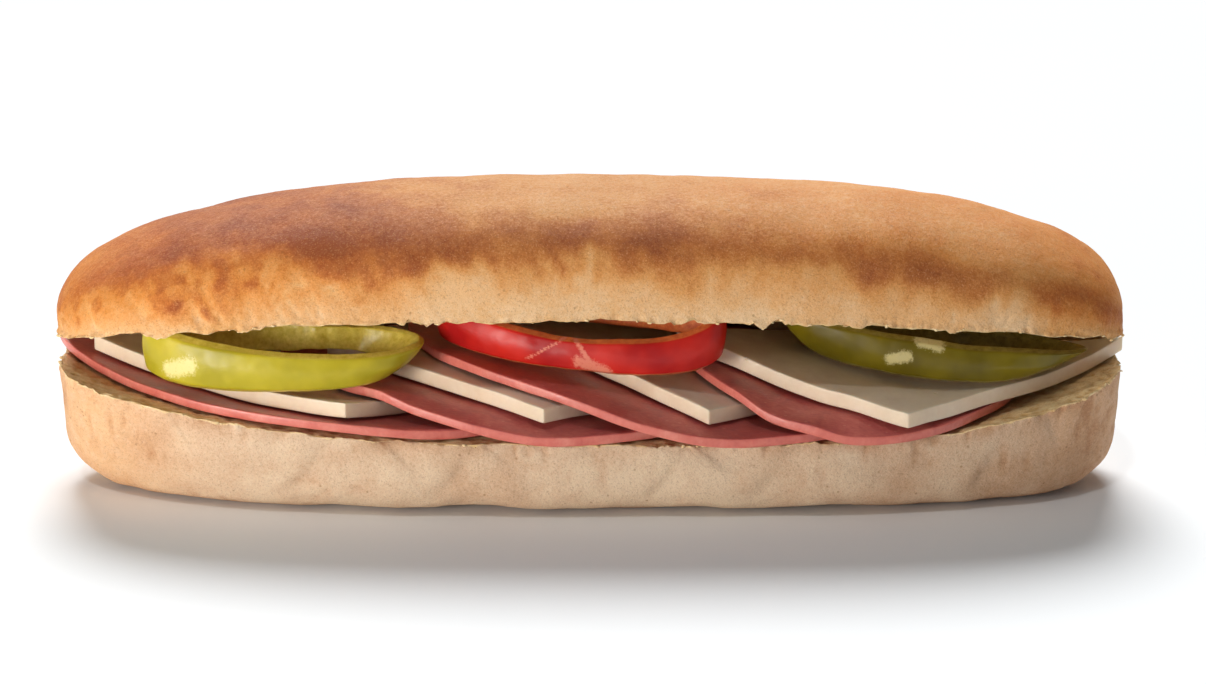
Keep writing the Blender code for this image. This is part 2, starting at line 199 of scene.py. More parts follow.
class Finish:
    """A node material in the making: each call adds a node and returns its output."""

    def __init__(self, name):
        self.material = bpy.data.materials.new(name)
        self.material.use_nodes = True
        self.tree = self.material.node_tree
        self.tree.nodes.clear()
        self.output = self.tree.nodes.new("ShaderNodeOutputMaterial")
        self.shader = self.tree.nodes.new("ShaderNodeBsdfPrincipled")
        self.tree.links.new(self.shader.outputs[0], self.output.inputs[0])
        self.place = self.tree.nodes.new("ShaderNodeTexCoord").outputs["Object"]

    def feed(self, socket, value):
        if isinstance(value, bpy.types.NodeSocket):
            self.tree.links.new(value, socket)
        else:
            socket.default_value = value

    def set(self, **values):
        for name, value in values.items():
            self.feed(self.shader.inputs[name.replace("_", " ")], value)

    def painted(self, key):
        """A value that the piece carries at each of its points."""
        node = self.tree.nodes.new("ShaderNodeAttribute")
        node.attribute_name = key
        return node.outputs["Fac"]

    def stretched(self, scale, turn=(0, 0, 0)):
        """Places for a pattern that is drawn out where scale is small."""
        node = self.tree.nodes.new("ShaderNodeMapping")
        self.feed(node.inputs["Vector"], self.place)
        node.inputs["Scale"].default_value = scale
        node.inputs["Rotation"].default_value = turn
        return node.outputs[0]

    def grain(self, size, detail=3.0, roughness=0.55, place=None, distortion=0.0):
        """Cloudy variation, 0 to 1, whose patches are about size across."""
        node = self.tree.nodes.new("ShaderNodeTexNoise")
        self.feed(node.inputs["Vector"], place or self.place)
        node.inputs["Scale"].default_value = 1 / size
        node.inputs["Detail"].default_value = detail
        node.inputs["Roughness"].default_value = roughness
        node.inputs["Distortion"].default_value = distortion
        return node.outputs["Fac"]

    def cells(self, size, place=None):
        """The distance to the nearest of many scattered spots about size apart."""
        node = self.tree.nodes.new("ShaderNodeTexVoronoi")
        self.feed(node.inputs["Vector"], place or self.place)
        node.inputs["Scale"].default_value = 1 / size
        return node.outputs["Distance"]

    def sums(self, operation, first, second, third=0.0):
        node = self.tree.nodes.new("ShaderNodeMath")
        node.operation = operation
        for socket, value in zip(node.inputs, (first, second, third)):
            self.feed(socket, value)
        return node.outputs[0]

    def off_middle(self, value, strength, base):
        """A base value raised and lowered by how far another is from 0.5."""
        return self.sums("MULTIPLY_ADD", self.sums("SUBTRACT", value, 0.5), strength, base)

    def spread(self, value, low, high, to_low=0.0, to_high=1.0):
        """An even rise from one value to another while value goes from low to high."""
        node = self.tree.nodes.new("ShaderNodeMapRange")
        node.interpolation_type = "SMOOTHSTEP"
        for socket, number in zip(node.inputs, (value, low, high, to_low, to_high)):
            self.feed(socket, number)
        return node.outputs[0]

    def shades(self, value, *stops):
        """A colour ramp: pairs of a position and a colour."""
        node = self.tree.nodes.new("ShaderNodeValToRGB")
        self.feed(node.inputs[0], value)
        ramp = node.color_ramp
        while len(ramp.elements) < len(stops):
            ramp.elements.new(0.5)
        for element, (position, colour) in zip(ramp.elements, stops):
            element.position = position
            element.color = (*colour, 1)
        return node.outputs[0]

    def mix(self, share, first, second, kind="MIX"):
        node = self.tree.nodes.new("ShaderNodeMix")
        node.data_type = "RGBA"
        node.blend_type = kind
        self.feed(node.inputs[0], share)
        for socket, colour in zip((node.inputs[6], node.inputs[7]), (first, second)):
            self.feed(socket, colour if isinstance(colour, bpy.types.NodeSocket) else (*colour, 1))
        return node.outputs[2]

    def relief(self, height, depth, strength, under=None):
        """Fine unevenness of the surface, on top of the relief under it."""
        node = self.tree.nodes.new("ShaderNodeBump")
        node.inputs["Strength"].default_value = strength
        node.inputs["Distance"].default_value = depth
        self.feed(node.inputs["Height"], height)
        if under is not None:
            self.feed(node.inputs["Normal"], under)
        return node.outputs[0]


# Colours that lie on or in the bread's crust
FLOUR = (0.84, 0.58, 0.34)
TOASTED_GRAIN = (0.28, 0.11, 0.045)
DARK_SPECK = (0.34, 0.15, 0.05)
GOLD_TINT = (0.98, 0.66, 0.32)


def bread_finish(name, crust, crumb, pore_shade, haze, speck):
    """Baked crust that runs from pale to brown with its painted value, which holds the browning and
    also painted light and shade, and an open crumb on the cut face. Haze is how much flour shows and
    speck how dark the specks are; the argument after the crumb ramp is the pores' darker colour,
    painted shade in the crumb's hollows."""
    f = Finish(name)
    mottle = f.grain(8 * MM, 5.0, 0.6)
    fine = f.grain(0.9 * MM, 5.0, 0.72)
    flour = f.grain(0.38 * MM, 2.0, 0.7)
    bake_and_shade = f.off_middle(mottle, 0.42, f.painted("bake_and_shade"))
    bake_and_shade = f.off_middle(fine, 0.62, bake_and_shade)
    skin = f.shades(bake_and_shade, *crust)
    skin = f.mix(f.sums("MULTIPLY", f.spread(flour, 0.52, 0.74), haze), skin, FLOUR)
    skin = f.mix(f.sums("MULTIPLY", f.spread(flour, 0.48, 0.30), haze), skin, TOASTED_GRAIN)
    dots = f.spread(f.cells(2.6 * MM), 0.17, 0.06)
    dots = f.sums("MULTIPLY", dots, f.spread(f.grain(7 * MM), 0.48, 0.60))
    skin = f.mix(f.sums("MULTIPLY", dots, speck), skin, DARK_SPECK)
    uneven = f.spread(f.grain(2.5 * MM, 4.0, 0.6), 0.3, 0.6, 0.75, 1.0)
    # Golden tint where painted: partly the crust's own colour, partly painted warm light of the lamp on
    # the left
    skin = f.mix(f.sums("MULTIPLY", f.painted("gold_and_warm_light"), uneven), skin, GOLD_TINT, "MULTIPLY")
    open_crumb = f.shades(f.grain(1.6 * MM, 5.0, 0.7), *crumb)
    # Painted shade: the crumb's pores darker than its walls
    open_crumb = f.mix(f.painted("pore"), open_crumb, pore_shade)
    edge = f.off_middle(f.grain(0.8 * MM, 3.0), 0.9, f.painted("crumb"))
    f.set(Base_Color=f.mix(f.spread(edge, 0.35, 0.65), skin, open_crumb))
    f.set(Roughness=f.spread(fine, 0.3, 0.7, 0.55, 0.78))
    f.set(Specular_IOR_Level=0.32, Subsurface_Weight=0.06, Subsurface_Scale=0.002)
    f.set(Subsurface_Radius=(1.0, 0.5, 0.25))
    coarse = f.relief(f.grain(2.4 * MM, 4.0, 0.6), 0.30 * MM, 0.8)
    f.set(Normal=f.relief(f.grain(0.55 * MM, 4.0, 0.75), 0.22 * MM, 0.9, coarse))
    return f.material


# Colour ramps of the slices: pairs of a position and a colour
# The ham's faces are darker than its cut sides: painted shade where the crown overhangs them
HAM_SHADED_FACE = ((0.25, (0.42, 0.075, 0.078)), (0.5, (0.54, 0.12, 0.105)), (0.75, (0.64, 0.185, 0.15)))
HAM_SIDE = ((0.25, (0.62, 0.135, 0.105)), (0.55, (0.71, 0.195, 0.150)), (0.8, (0.78, 0.28, 0.215)))
# The cheese's faces are greyer and darker than its warm cut sides: painted shade on the faces, painted
# warm light on the sides
CHEESE_SHADED_FACE = ((0.3, (0.68, 0.58, 0.46)), (0.7, (0.78, 0.69, 0.56)))
CHEESE_SIDE = ((0.3, (0.80, 0.60, 0.42)), (0.7, (0.88, 0.70, 0.52)))


def ham_finish():
    """Moist cooked ham, salmon pink on its cut edge; its faces are painted dusky and darker, painted
    shade where the crown overhangs them.
    """
    f = Finish("cooked_ham")
    mottle = f.grain(6 * MM, 5.0, 0.6, distortion=0.6)
    fibres = f.grain(1.3 * MM, 4.0, 0.6, f.stretched((1, 2.6, 1), turn=(0, 0, 0.5)))
    tone = f.off_middle(fibres, 0.5, mottle)
    face = f.shades(tone, *HAM_SHADED_FACE)
    side = f.shades(tone, *HAM_SIDE)
    flecks = f.spread(f.cells(2.6 * MM, f.stretched((1, 1.6, 1))), 0.20, 0.08)
    face = f.mix(f.sums("MULTIPLY", flecks, 0.22), face, (0.78, 0.38, 0.29))
    f.set(Base_Color=f.mix(f.painted("rim"), face, side))
    f.set(Roughness=f.spread(mottle, 0.3, 0.7, 0.30, 0.48))
    f.set(Specular_IOR_Level=0.45, Subsurface_Weight=0.25, Subsurface_Scale=0.003)
    f.set(Subsurface_Radius=(1.0, 0.35, 0.2), Coat_Weight=0.10, Coat_Roughness=0.3)
    broad = f.relief(mottle, 0.25 * MM, 0.5)
    f.set(Normal=f.relief(fibres, 0.08 * MM, 0.6, broad))
    return f.material


def cheese_finish():
    """White semi-hard cheese: a satin face painted darker and greyer than its clean creamy cut edge,
    painted shade on the face and painted warm light on the edge, and a few small eyes.
    """
    f = Finish("white_cheese")
    cloud = f.grain(7 * MM, 4.0, 0.55)
    curd = f.grain(1.2 * MM, 3.0, 0.6)
    tone = f.off_middle(curd, 0.35, cloud)
    face = f.shades(tone, *CHEESE_SHADED_FACE)
    side = f.shades(tone, *CHEESE_SIDE)
    eyes = f.spread(f.cells(6.5 * MM), 0.09, 0.03)
    colour = f.mix(f.painted("rim"), face, side)
    f.set(Base_Color=f.mix(f.sums("MULTIPLY", eyes, 0.35), colour, (0.70, 0.52, 0.28)))
    f.set(Roughness=f.spread(curd, 0.3, 0.7, 0.34, 0.5))
    f.set(Specular_IOR_Level=0.42, Subsurface_Weight=0.35, Subsurface_Scale=0.004)
    f.set(Subsurface_Radius=(1.0, 0.7, 0.4))
    dimples = f.relief(f.sums("MULTIPLY", eyes, -1.0), 0.3 * MM, 0.8)
    f.set(Normal=f.relief(curd, 0.05 * MM, 0.6, dimples))
    return f.material


def pepper_finish(name, skin, flesh, highlight_colour):
    """Glossy pepper skin outside, wet flesh where it was cut, and painted highlights on the skin: pale
    ragged patches that stand in for reflections of the light. Skin and flesh are colour ramps, and the
    last argument is the painted highlights' colour."""
    f = Finish(name)
    cloud = f.grain(12 * MM, 3.0, 0.5)
    streaks = f.grain(2.6 * MM, 3.0, 0.5, f.stretched((0.6, 0.6, 0.5)))
    tone = f.off_middle(streaks, 0.18, cloud)
    outside = f.shades(tone, *skin)
    inside = f.shades(f.grain(1.4 * MM, 5.0, 0.65), *flesh)
    colour = f.mix(f.painted("skin"), inside, outside)
    # Painted highlight: a pale colour with ragged edges where the painted mask is high
    glint = f.off_middle(f.grain(0.7 * MM, 5.0, 0.75), 1.7, f.painted("painted_highlight"))
    f.set(Base_Color=f.mix(f.spread(glint, 0.38, 0.95, 0.0, 0.85), colour, highlight_colour))
    f.set(Roughness=f.spread(streaks, 0.3, 0.7, 0.30, 0.42))
    f.set(Specular_IOR_Level=0.30, Subsurface_Weight=0.18, Subsurface_Scale=0.002)
    f.set(Subsurface_Radius=(1.0, 0.6, 0.15))
    broad = f.relief(cloud, 0.4 * MM, 0.4)
    f.set(Normal=f.relief(f.grain(0.9 * MM, 3.0), 0.05 * MM, 0.5, broad))
    return f.material


# --- Bread ------------------------------------------------------------------------------


# Unevenness of the bread, as layers of a height, a length and a seed. Heights are in mm where the
# layers move the surface, and shares of the way from pale to brown where they colour it.
CROWN_LUMPS = ((0.45, 19 * MM, 1.0), (0.22, 7 * MM, 2.0), (0.07, 1.8 * MM, 3.0))
CROWN_STREAKS = ((0.10, 7 * MM, 12.0), (0.10, 2.4 * MM, 14.0))
CROWN_BLOTCHES = ((0.18, 15 * MM, 16.0), (0.14, 5 * MM, 17.0))
CROWN_SHADES = ((0.18, 24 * MM, 11.0), (0.14, 9 * MM, 15.0))
HEEL_LUMPS = ((0.40, 17 * MM, 21.0), (0.20, 6 * MM, 22.0), (0.07, 1.8 * MM, 23.0))
HEEL_SHADES = ((0.22, 15 * MM, 27.0), (0.14, 5 * MM, 35.0))
TORN_TEETH = ((0.8, 2.6 * MM, 2.0), (0.7, 1.0 * MM, 5.0))

# How long the teeth of a torn cut edge are, and how far they reach into the bread
CROWN_TEETH, HEEL_TEETH = 1.9 * MM, 0.9 * MM
TEETH_REACH = 1.2 * MM

# Where along the crown, and how far up its side from 0 to 1, the crust is brownest
BROWNEST = ((-0.120, -0.070, 0.002, 0.070, 0.105, 0.120), (0.62, 0.70, 0.62, 0.52, 0.42, 0.24))

# The crust's slanting wrinkles: where along the crown they are deepest, and how they lean
WRINKLED, WRINKLED_REACH = -84 * MM, 15 * MM
WRINKLE_LEAN = 0.55
WRINKLE_LEAN_RIGHT = -0.3  # of the lean on the left

# No part of a bread half counts as lower than this, so that its thin ends keep their shades
THIN_BREAD = 6 * MM
COLUMN = 4 * MM


def mark_cut_face(mesh, facing):
    """Gives material index 1 to the cut face, found by walking from its middle to its sharp rim."""

    def on_cut(face):
        return face.normal.z * facing > CUT_FACING

    middle = [f for f in mesh.faces if on_cut(f) and f.calc_center_median().xy.length < CUT_MIDDLE]
    start = max(middle, key=lambda f: f.calc_center_median().z * facing)
    found, waiting = {start}, [start]
    while waiting:
        for edge in waiting.pop().edges:
            if edge.calc_face_angle(0) < CUT_EDGE_ANGLE:
                fresh = [f for f in edge.link_faces if f not in found and on_cut(f)]
                found.update(fresh)
                waiting.extend(fresh)
    for face in found:
        face.material_index = 1
    return [e for e in mesh.edges if sum(f in found for f in e.link_faces) == 1]


def refined_bread(node, facing):
    """The fine skin of a bread half, finest along its cut edge, with the points of that edge."""
    mesh = merged_copy(node)
    crease(mesh, mark_cut_face(mesh, facing), CUT_SHARPNESS)
    mesh = subdivided(mesh, FINE_LEVELS)

    def cut_edge():
        """The points that have both crust and cut face around them."""
        return [
            v for v in mesh.verts
            if 0 < sum(f.material_index for f in v.link_faces) < len(v.link_faces)
        ]

    near = nearest_to([v.co for v in cut_edge()])
    band = {e for v in mesh.verts if near.find(v.co)[2] < CUT_BAND for e in v.link_edges}
    bmesh.ops.subdivide_edges(mesh, edges=list(band), cuts=1, use_grid_fill=True)
    mesh.normal_update()
    return mesh, [v.co.copy() for v in cut_edge()]


def nearest_to(points):
    """Points in a form that tells how near any place is to them."""
    tree = kdtree.KDTree(len(points))
    for number, point in enumerate(points):
        tree.insert(point, number)
    tree.balance()
    return tree


def outline(points, height):
    """The height of an edge along X, as places and heights ready to read off between them."""
    ordered = sorted((p.x, height(p)) for p in points)
    return [x for x, _ in ordered], [z for _, z in ordered]


def ridge_line(mesh, facing):
    """The furthest height of the bread from its cut face, along X."""
    best = {}
    for vertex in mesh.verts:
        column = round(vertex.co.x / COLUMN)
        best[column] = max(best.get(column, -1), vertex.co.z * facing)
    return [c * COLUMN for c in sorted(best)], [best[c] * facing for c in sorted(best)]


def torn(place, gap, teeth, outward):
    """How a torn cut edge strays: fine teeth along the edge, fading away from it."""
    grip = math.exp(-((gap / TEETH_REACH) ** 2))
    rough = smooth_step(-0.1, 0.5, ripple(place, 11 * MM, 13.0))
    tooth = 0.5 * ripple(place, 6 * MM, 9.0) + rough * ripples(place, TORN_TEETH)
    return grip * teeth * (outward * 0.5 * ripple(place, 1.4 * MM, 7.0) + Vector((0, 0, tooth)))


def baked(name, mesh, moves, values, material, slot, node):
    """Moves the skin, makes the piece and gives back the points of its torn cut edge."""
    for vertex, move in zip(mesh.verts, moves):
        vertex.co += move
    settle(mesh)
    edge = [v.co.copy() for v, share in zip(mesh.verts, values["crumb"]) if 0 < share < 1]
    finished(name, mesh, values, material, slot, node)
    return edge


def near_values(table, pick):
    """Each cell of a table becomes the pick, such as the lowest, of itself and its eight neighbours."""
    wide = np.pad(table, 1, mode="edge")
    rows, columns = table.shape
    return pick([wide[i : i + rows, j : j + columns] for i in range(3) for j in range(3)], axis=0)


def room_below_crown():
    """How far the crown could sink before it meets the filling, as a function of a place."""
    skins = {}
    for node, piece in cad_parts.items():
        mesh = bmesh.new()
        mesh.from_mesh(piece.data)
        skins[node] = BVHTree.FromBMesh(mesh)
        mesh.free()
    upper = skins.pop("bread_crown")
    down, up = Vector((0, 0, -1)), Vector((0, 0, 1))
    length, width = (np.arange(-rows, rows + 1) * SAG_STEP for rows in SAG_ROWS)
    room = np.full((len(length), len(width)), SAG_MOST)
    for i, x in enumerate(length):
        for j, y in enumerate(width):
            cut = upper.ray_cast(Vector((x, y, 0)), up)[0]
            tops = [skin.ray_cast(Vector((x, y, 1)), down)[0] for skin in skins.values()]
            tops = [top.z for top in tops if top]
            if cut and tops:
                room[i, j] = min(max(cut.z - max(tops) - SAG_KEPT, 0), SAG_MOST)
    room = near_values(near_values(room, np.min), np.mean)

    def room_at(place):
        """Reads the table off between its four nearest cells."""
        i, j = (
            clamp(at / SAG_STEP + rows, 0, 2 * rows - 0.001) for at, rows in zip(place.xy, SAG_ROWS)
        )
        a, b = int(i), int(j)
        here = room[a, b] * (b + 1 - j) + room[a, b + 1] * (j - b)
        there = room[a + 1, b] * (b + 1 - j) + room[a + 1, b + 1] * (j - b)
        return here * (a + 1 - i) + there * (i - a)

    return room_at


def crown_wrinkles(p, low, up):
    """The slanting folds on the crown's side: places along them, how deep they cut, how much
    browner the crust is between them, and how much paler in them."""
    flank = smooth_step(0.02, 0.14, up) * smooth_step(0.66, 0.34, up)
    marked = hump(p.x, WRINKLED, WRINKLED_REACH)
    patchy = clamp(smooth_step(-0.05, 0.35, ripple(p, 26 * MM, 8.0)) + marked)
    lean = WRINKLE_LEAN * (p.z - low) * (1 if p.x < 0 else WRINKLE_LEAN_RIGHT)
    slant = Vector((p.x + lean, p.y * 0.3, p.z * 0.13))
    groove = abs(ripple(slant, 5.0 * MM, 6.0))
    fold = max(1 - groove * 4.5, 0)
    depth = (0.45 + 0.45 * marked) * flank * patchy * fold**2
    browner = 0.32 * marked * flank * smooth_step(0.06, 0.24, groove)
    paler = 0.26 * fold**2 * flank * patchy
    return slant, depth, browner, paler


def crown_bake(p, up, slant):
    """How brown the crown's crust is painted, from 0 to 1, with some painted light and shade in it, and
    how golden.
    """
    left, right = smooth_step(-15 * MM, -80 * MM, p.x), smooth_step(0, 70 * MM, p.x)
    ends = smooth_step(88 * MM, 112 * MM, abs(p.x))
    blotch = ripples(p, CROWN_BLOTCHES)
    over = up - np.interp(p.x, *BROWNEST)
    browned = smooth_step(-0.38, 0.10, over + ripples(slant, CROWN_STREAKS) + blotch)
    # Lighter above the brownest line: partly the crust's own browning, partly painted light on the top,
    # where the light from above falls
    faded = smooth_step(0.06, 0.34, over + 0.4 * blotch)
    band = browned * (1 - (0.60 - 0.40 * left + 0.18 * right) * faded)
    # The left end is painted lighter and the right end darker: partly the crust's own colour, partly
    # painted light and shade of the lamp on the left
    strength = 0.80 + 0.12 * left * (1 - ends) - 0.12 * right * (1 - ends) - 0.26 * ends * left
    level = 0.10 + strength * band + (0.18 * left + 0.34 * ends * right) * (1 - band)
    level += ripples(p, CROWN_SHADES)
    freckle = smooth_step(0.12, 0.42, ripple(p, 3.4 * MM, 18.0)) * smooth_step(0.02, 0.25, up)
    level += 0.34 * freckle * (1 - band) * (0.3 + 0.7 * left)
    # More golden on the left: partly the crust's own colour, partly painted warm light of the lamp on
    # the left
    golden = 0.50 + 0.45 * left + 0.50 * max(right * smooth_step(0.5, 0.8, up), ends)
    return level, clamp(golden) * smooth_step(-0.1, 0.35, up)


def crown(material):
    """The upper half of the roll, and the points of its cut edge."""
    mesh, edge = refined_bread("bread_crown", -1)
    room_at = room_below_crown()
    near = nearest_to(edge)
    front = outline([p for p in edge if p.y < 0], lambda p: p.z)
    back = outline([p for p in edge if p.y > 0], lambda p: p.y)
    ridge = ridge_line(mesh, 1)
    crumb = share_of(mesh, 1)
    bake_and_shade, pore, gold_and_warm_light, moves = [], [], [], []
    for vertex, is_crumb in zip(mesh.verts, crumb):
        p, n = vertex.co, vertex.normal
        low, high = np.interp(p.x, *front), np.interp(p.x, *ridge)
        up = (p.z - low) / max(high - low, THIN_BREAD)
        gap = near.find(p)[2]
        skin = 1 - is_crumb
        slant, wrinkle, browner, paler = crown_wrinkles(p, low, up)
        hole = pores(p, 2.1 * MM, 3.0) * is_crumb * smooth_step(0, 1.5 * MM, gap)
        lumps = skin * (ripples(p, CROWN_LUMPS) - wrinkle)
        move = n * MM * (lumps + is_crumb * 0.3 * ripple(p, 3 * MM, 4.0) - 0.5 * hole)
        move += n * GROWTH * skin * smooth_step(0, 5 * MM, gap)
        loose = smooth_step(0.05, 0.55, p.y / max(np.interp(p.x, *back), 4 * MM))
        loose *= smooth_step(-116 * MM, -100 * MM, p.x)
        sag = Vector((0, 0, -room_at(p) * loose * smooth_step(0.45, 0.0, up)))
        moves.append(move + sag + torn(p, gap, CROWN_TEETH, Vector((n.x, n.y, 0))))
        level, golden = crown_bake(p, up, slant)
        bake_and_shade.append(clamp(level + browner - paler))
        pore.append(hole)
        gold_and_warm_light.append(golden)
    values = {"bake_and_shade": bake_and_shade, "crumb": crumb, "pore": pore, "gold_and_warm_light": gold_and_warm_light}
    return baked("roll_crown", mesh, moves, values, material, "crust", "bread_crown")


def heel(material):
    """The lower half of the roll, and the points of its cut edge."""
    mesh, edge = refined_bread("bread_heel", 1)
    near = nearest_to(edge)
    front = outline([p for p in edge if p.y < 0], lambda p: p.z)
    crumb = share_of(mesh, 1)
    bake_and_shade, pore, gold_and_warm_light, moves = [], [], [], []
    for vertex, is_crumb in zip(mesh.verts, crumb):
        p, n = vertex.co, vertex.normal
        up = p.z / max(np.interp(p.x, *front), THIN_BREAD)
        gap = near.find(p)[2]
        skin = 1 - is_crumb
        free = smooth_step(0, 1.5 * MM, p.z)
        slant = Vector((p.x, p.y * 0.3, p.z * 0.22))
        dent = smooth_step(0.25, 0.6, ripple(slant, 2.2 * MM, 24.0)) * smooth_step(0.30, 0.62, up)
        pit = skin * free * pores(p, 3.1 * MM, 33.0) * smooth_step(0.05, 0.4, ripple(p, 14 * MM, 34.0))
        hole = pores(p, 2.3 * MM, 25.0) * is_crumb
        lumps = ripples(p, HEEL_LUMPS) - (0.22 * dent + 0.45 * pit)
        relief = skin * free * lumps + is_crumb * 0.25 * ripple(p, 3.4 * MM, 26.0) - 0.40 * hole
        moves.append(n * MM * relief + torn(p, gap, HEEL_TEETH, Vector((n.x, n.y, 0))))
        # Darker in the dents and pits: painted shade in those hollows. Darker towards the right end:
        # partly the crust's own colour, partly painted shade away from the lamp on the left
        level = 0.14 + 0.45 * smooth_step(0.12, 0.01, up) + 0.25 * dent + 0.30 * pit
        level += ripples(p, HEEL_SHADES) + 0.24 * smooth_step(30 * MM, 105 * MM, p.x)
        level += 0.22 * smooth_step(0.80, 1.0, up) * smooth_step(-0.3, 0.4, ripple(p, 9 * MM, 28.0))
        bake_and_shade.append(clamp(level))
        pore.append(hole)
        # More golden towards the left end: partly the crust's own colour, partly painted warm light of
        # the lamp on the left
        golden = 0.60 * smooth_step(-78 * MM, -114 * MM, p.x)
        gold_and_warm_light.append(golden + 0.35 * smooth_step(94 * MM, 114 * MM, p.x))
    values = {"bake_and_shade": bake_and_shade, "crumb": crumb, "pore": pore, "gold_and_warm_light": gold_and_warm_light}
    return baked("roll_heel", mesh, moves, values, material, "pale_crust", "bread_heel")


def loose_crumbs(edges, material):
    """Torn crumbs that cling to the cut edges."""
    chooser = random.Random(7)
    mesh = bmesh.new()
    for edge, count, hang in edges:
        for point in chooser.sample(edge, count):
            size = chooser.uniform(0.16, 0.42) * MM
            blob = bmesh.ops.create_icosphere(mesh, subdivisions=2, radius=size)["verts"]
            middle = point + Vector((0, 0, hang * size * 0.2))
            width, height = chooser.uniform(0.8, 1.9), chooser.uniform(0.4, 1.0)
            for vertex in blob:
                vertex.co *= 1 + 0.9 * ripple(vertex.co + point, 0.45 * MM, 31.0)
                vertex.co = middle + Vector((vertex.co.x * width, vertex.co.y, vertex.co.z * height))
    values = {"bake_and_shade": [0.2] * len(mesh.verts), "crumb": [1.0] * len(mesh.verts)}
    values["pore"] = values["gold_and_warm_light"] = [0.0] * len(mesh.verts)
    return finished("torn_crumbs", mesh, values, material, "pale_crust")


# --- Slices -----------------------------------------------------------------------------


def cut_wall(mesh):
    """The upright edges of a slice's cut side, and the faces of that side."""
    upright = {e for e in mesh.edges if (e.verts[0].co - e.verts[1].co).xy.length < MERGE}
    return upright, {f for e in upright for f in e.link_faces}


def slice_piece(node, material, slot, edge_bevel, square, uneven, seed):
    """A draped slice: its cut edge slightly rounded, its faces and outline as uneven as sliced food."""
    mesh = merged_copy(node)
    upright, wall = cut_wall(mesh)
    braces = [e for e in mesh.edges if e not in upright and all(f in wall for f in e.link_faces)]
    if braces:
        bmesh.ops.dissolve_edges(mesh, edges=braces, use_verts=False)
        upright, wall = cut_wall(mesh)
    for face in wall:
        face.material_index = 1
    rim = [e for e in mesh.edges if sum(f in wall for f in e.link_faces) == 1]
    if square:
        rim += [e for e in upright if e.calc_face_angle(0) > CUT_EDGE_ANGLE]
    bmesh.ops.bevel(
        mesh,
        geom=rim,
        offset=edge_bevel,
        offset_type="OFFSET",
        segments=2,
        profile=0.5,
        affect="EDGES",
        material=-1,
    )
    mesh = subdivided(mesh, FINE_LEVELS)
    rims = share_of(mesh, 1)
    for vertex, rim_share in zip(mesh.verts, rims):
        p, n = vertex.co.copy(), vertex.normal
        face_wave = uneven * MM * ripples(p, ((0.7, 9 * MM, seed), (0.3, 3 * MM, seed + 3)))
        side_wave = uneven * MM * ripples(p, ((1.6, 11 * MM, seed + 5), (0.5, 2.5 * MM, seed + 7)))
        vertex.co += n * face_wave * (1 - rim_share) + Vector((n.x, n.y, 0)) * side_wave
    settle(mesh)
    return finished(node + "_slice", mesh, {"rim": rims}, material, slot, node)


# --- Pepper rings -----------------------------------------------------------------------


def stroke(place, start, end, reach):
    """1 along a stroke between two spots of the skin, each an x and a z, fading to 0 past its reach."""
    start, end, here = Vector(start) * MM, Vector(end) * MM, Vector((place.x, place.z))
    line = end - start
    share = clamp((here - start).dot(line) / max(line.length_squared, 1e-12))
    off = (here - start - line * share).length / (reach * MM)
    return clamp(1.35 - off)


# A ring's skin is lobed as if drawn round a circle of this radius
LOBE_RADIUS = 14 * MM


def ring_piece(node, material, slot, painted_highlights, seed):
    """A ring of pepper wall: knife-cut edges, a lobed skin outside and soft ridged flesh inside."""
    mesh = merged_copy(node)
    low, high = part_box(node)
    centre = ((low + high) / 2).xy
    sharp = [e for e in mesh.edges if e.calc_face_angle(0) > RING_EDGE_ANGLE]
    crease(mesh, sharp, RING_SHARPNESS)
    mesh = subdivided(mesh, FINE_LEVELS)
    skins, highlight_marks = [], []
    for vertex in mesh.verts:
        p, n = vertex.co.copy(), vertex.normal
        outward = (p.xy - centre).normalized()
        skin = smooth_step(0.05, 0.45, n.xy.dot(outward)) * smooth_step(0.95, 0.75, abs(n.z))
        turn = math.atan2(outward.y, outward.x)
        round_circle = Vector((math.cos(turn), math.sin(turn), 0)) * LOBE_RADIUS
        lobes = 0.45 * ripple(round_circle, 9 * MM, seed)
        ridges = 0.35 * ripple(Vector((p.x, p.y, p.z * 0.3)), 2.4 * MM, seed + 2)
        ridges *= (1 - skin) * smooth_step(0.9, 0.6, abs(n.z))
        vertex.co += n * MM * (lobes + ridges + 0.10 * ripple(p, 2.5 * MM, seed + 4))
        skins.append(skin)
        # Painted highlights: pale strokes on the front of the skin, standing in for reflections of the
        # light
        highlight_marks.append(max(stroke(p, *painted_highlight) for painted_highlight in painted_highlights) * (p.y < centre.y))
    settle(mesh)
    return finished(node + "_ring", mesh, {"skin": skins, "painted_highlight": highlight_marks}, material, slot, node)


# --- The sandwich -----------------------------------------------------------------------

# Crust from unbaked to darkest, and crumb from its hollows to its walls
CROWN_CRUST = (
    (0.00, (0.80, 0.56, 0.33)),
    (0.20, (0.76, 0.46, 0.22)),
    (0.45, (0.70, 0.365, 0.125)),
    (0.70, (0.53, 0.210, 0.058)),
    (0.90, (0.39, 0.130, 0.036)),
    (1.00, (0.31, 0.092, 0.028)),
)
HEEL_CRUST = (
    (0.00, (0.84, 0.64, 0.45)),
    (0.30, (0.73, 0.49, 0.32)),
    (0.60, (0.58, 0.33, 0.185)),
    (1.00, (0.42, 0.19, 0.075)),
)
CROWN_CRUMB = ((0.25, (0.64, 0.36, 0.13)), (0.5, (0.78, 0.52, 0.24)), (0.75, (0.88, 0.68, 0.40)))
# The heel's crumb is lighter than the crown's: painted light on the heel's cut strip, which the crown
# shades
HEEL_CRUMB = ((0.25, (0.74, 0.45, 0.17)), (0.5, (0.88, 0.64, 0.34)), (0.75, (0.94, 0.79, 0.52)))

